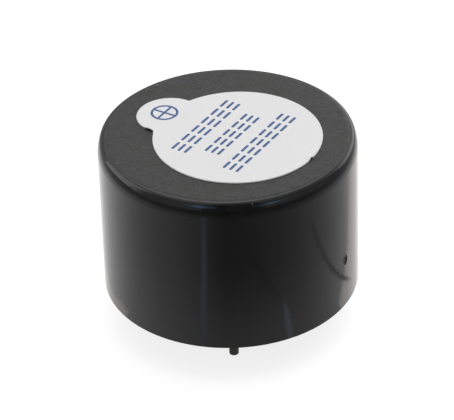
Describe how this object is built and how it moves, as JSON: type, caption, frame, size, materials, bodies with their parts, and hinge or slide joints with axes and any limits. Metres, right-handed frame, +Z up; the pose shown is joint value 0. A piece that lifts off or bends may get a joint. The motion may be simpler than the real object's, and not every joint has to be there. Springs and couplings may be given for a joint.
{
  "type": "piezo buzzer",
  "caption": "Round sealed piezo buzzer: a black moulded cup with solder pins below, a built-in drive circuit, and a peel-off seal with a pull tab over its sound hole.",
  "frame": {"origin": "centre of the seating plane, which is the rim of the moulded cup", "axes": "+Z up through the sound hole; the pins stand on the Y axis and point to -Z; -Y is the front"},
  "size_m": [0.024, 0.024, 0.0196],
  "materials": {
    "case": "semi-gloss moulded black, grained on the crown",
    "film": "white film with blue print",
    "brass": "rolled brass",
    "piezo": "fired ceramic",
    "electrode": "fired silver",
    "silicone": "cured silicone",
    "sleeve_red": "wire insulation",
    "sleeve_blue": "wire insulation",
    "sleeve_black": "wire insulation",
    "solder": "bright solder",
    "laminate": "paper laminate",
    "copper": "bare copper",
    "moulding": "moulded epoxy",
    "lead": "tinned wire",
    "ferrite": "sintered ferrite",
    "enamel": "enamelled copper wire",
    "diode_glass": "amber glass",
    "chip": "coated resistor",
    "pin": "dull tinned pin",
    "resin": "cured potting resin"
  },
  "bodies": {
    "root": {"housing": "case", "seal_label": "film", "diaphragm_plate": "brass", "piezo_ceramic": "piezo", "main_electrode": "electrode", "feedback_electrode": "electrode", "diaphragm_bond": "silicone", "main_lead": "sleeve_red", "feedback_lead": "sleeve_blue", "plate_lead": "sleeve_black", "sounder_solder": "solder", "circuit_board": "laminate", "board_tracks": "copper", "board_solder": "solder", "transistor_body": "moulding", "transistor_leads": "lead", "coil_core": "ferrite", "coil_winding": "enamel", "coil_leads": "lead", "diode_body": "diode_glass", "diode_leads": "lead", "resistor_bodies": "chip", "resistor_caps": "electrode", "pin_front": "pin", "pin_rear": "pin", "potting_resin": "resin"}
  },
  "joints": []
}
